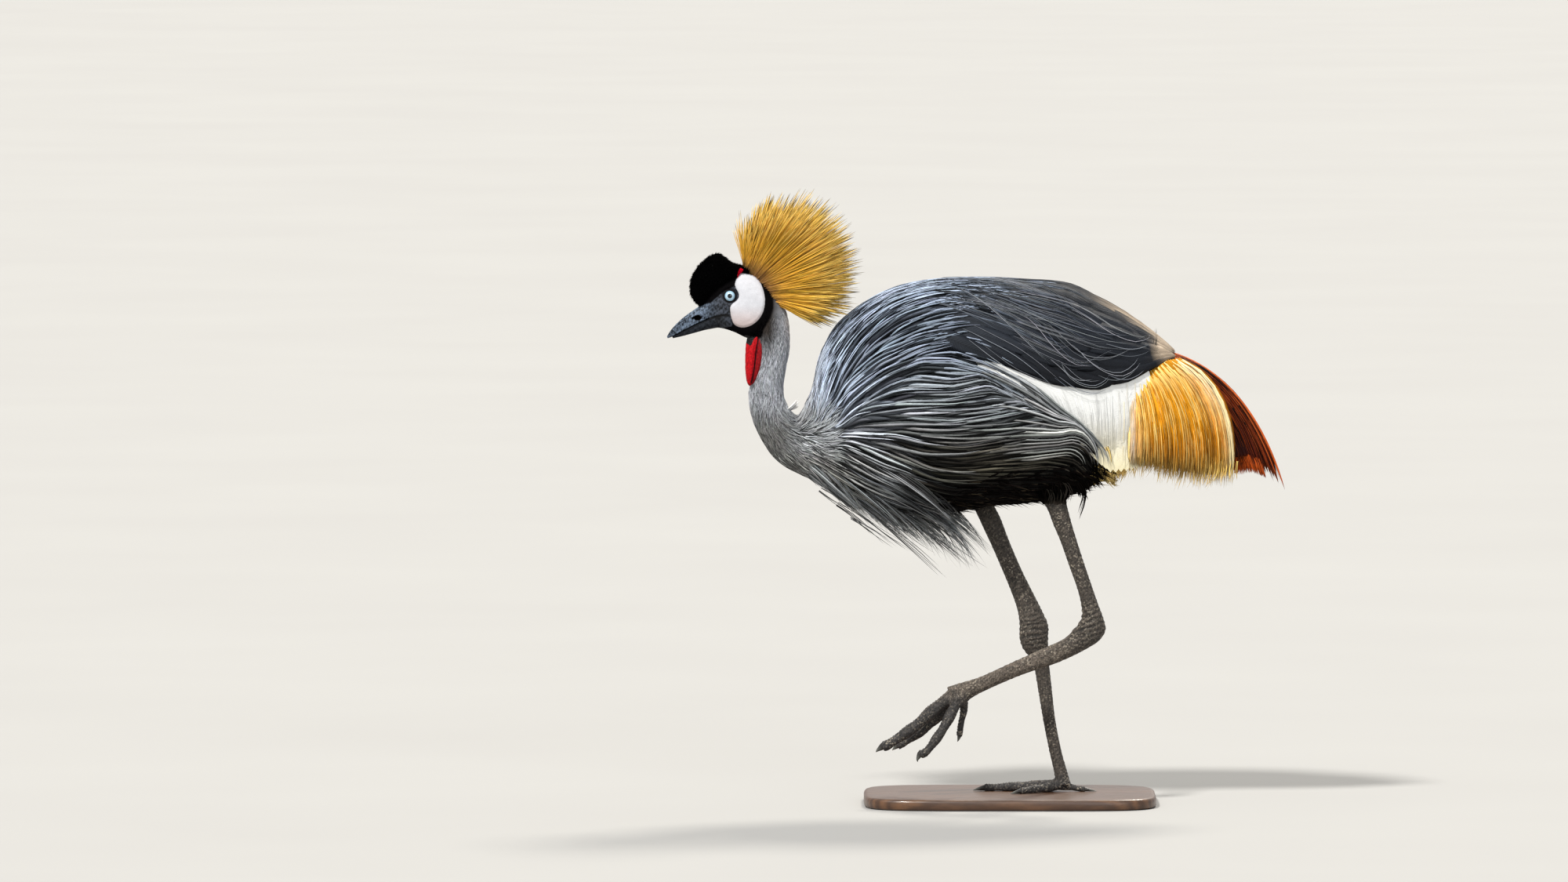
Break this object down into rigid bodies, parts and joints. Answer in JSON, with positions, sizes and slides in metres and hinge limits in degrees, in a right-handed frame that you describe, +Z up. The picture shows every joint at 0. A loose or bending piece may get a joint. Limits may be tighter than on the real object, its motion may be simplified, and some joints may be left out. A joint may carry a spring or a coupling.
{
  "type": "grey crowned crane",
  "caption": "Still, life-size model of a walking grey crowned crane with a gold bristle crown, one leg planted on a flat oval base and the other lifted.",
  "frame": {"origin": "on the underside of the flat base, under the belly, in the bird's mid plane", "axes": "+Z up, the bird faces -X, its left side is towards -Y"},
  "size_m": [0.8052, 0.25, 0.8042],
  "materials": {
    "plumage_grey": "matte, fine pale grey lance-shaped plumes",
    "plumage_slate": "matte, smooth dark slate feathers with pale hair-like plumes",
    "plumage_white": "matte, soft white to cream coverts",
    "plumage_gold": "silky hanging gold plumes",
    "plumage_chestnut": "matte chestnut flight feathers with dark edges",
    "plumage_black": "velvety black feathers",
    "crown_bristles": "stiff straw-gold bristles with black tips",
    "face_skin": "dark slate-grey, fine grained",
    "bill_horn": "smooth slate-grey horn, satin",
    "cheek_skin": "bare white skin, faintly creased",
    "wattle_skin": "bare red skin, soft sheen",
    "eye": "wet, pale blue-grey iris with a black pupil",
    "leg_scale": "dark brown-black, pebbled scales",
    "claw_horn": "dark horn, satin",
    "base_wood": "satin dark wood"
  },
  "bodies": {
    "root": {"bill_lower": "bill_horn", "bill_upper": "bill_horn", "breast_plumes": "plumage_grey", "cap": "plumage_black", "cheek_left": "cheek_skin", "cheek_right": "cheek_skin", "claw_left_hind": "claw_horn", "claw_left_inner": "claw_horn", "claw_left_middle": "claw_horn", "claw_left_outer": "claw_horn", "claw_right_hind": "claw_horn", "claw_right_inner": "claw_horn", "claw_right_middle": "claw_horn", "claw_right_outer": "claw_horn", "crown": "crown_bristles", "eye_left": "eye", "eye_right": "eye", "head": "face_skin", "hock_left": "leg_scale", "hock_right": "leg_scale", "neck_lower": "plumage_grey", "neck_middle": "plumage_grey", "neck_upper": "plumage_grey", "shank_left": "leg_scale", "shank_right": "leg_scale", "stand_base": "base_wood", "tail": "plumage_black", "tarsus_left": "leg_scale", "tarsus_right": "leg_scale", "thigh_left": "plumage_black", "thigh_right": "plumage_black", "toe_left_hind": "leg_scale", "toe_left_inner": "leg_scale", "toe_left_middle": "leg_scale", "toe_left_outer": "leg_scale", "toe_right_hind": "leg_scale", "toe_right_inner": "leg_scale", "toe_right_middle": "leg_scale", "toe_right_outer": "leg_scale", "trunk": "plumage_grey", "wattle_left": "wattle_skin", "wattle_right": "wattle_skin", "wing_left_chestnut": "plumage_chestnut", "wing_left_gold": "plumage_gold", "wing_left_slate": "plumage_slate", "wing_left_white": "plumage_white", "wing_right_chestnut": "plumage_chestnut", "wing_right_gold": "plumage_gold", "wing_right_slate": "plumage_slate", "wing_right_white": "plumage_white"}
  },
  "joints": []
}
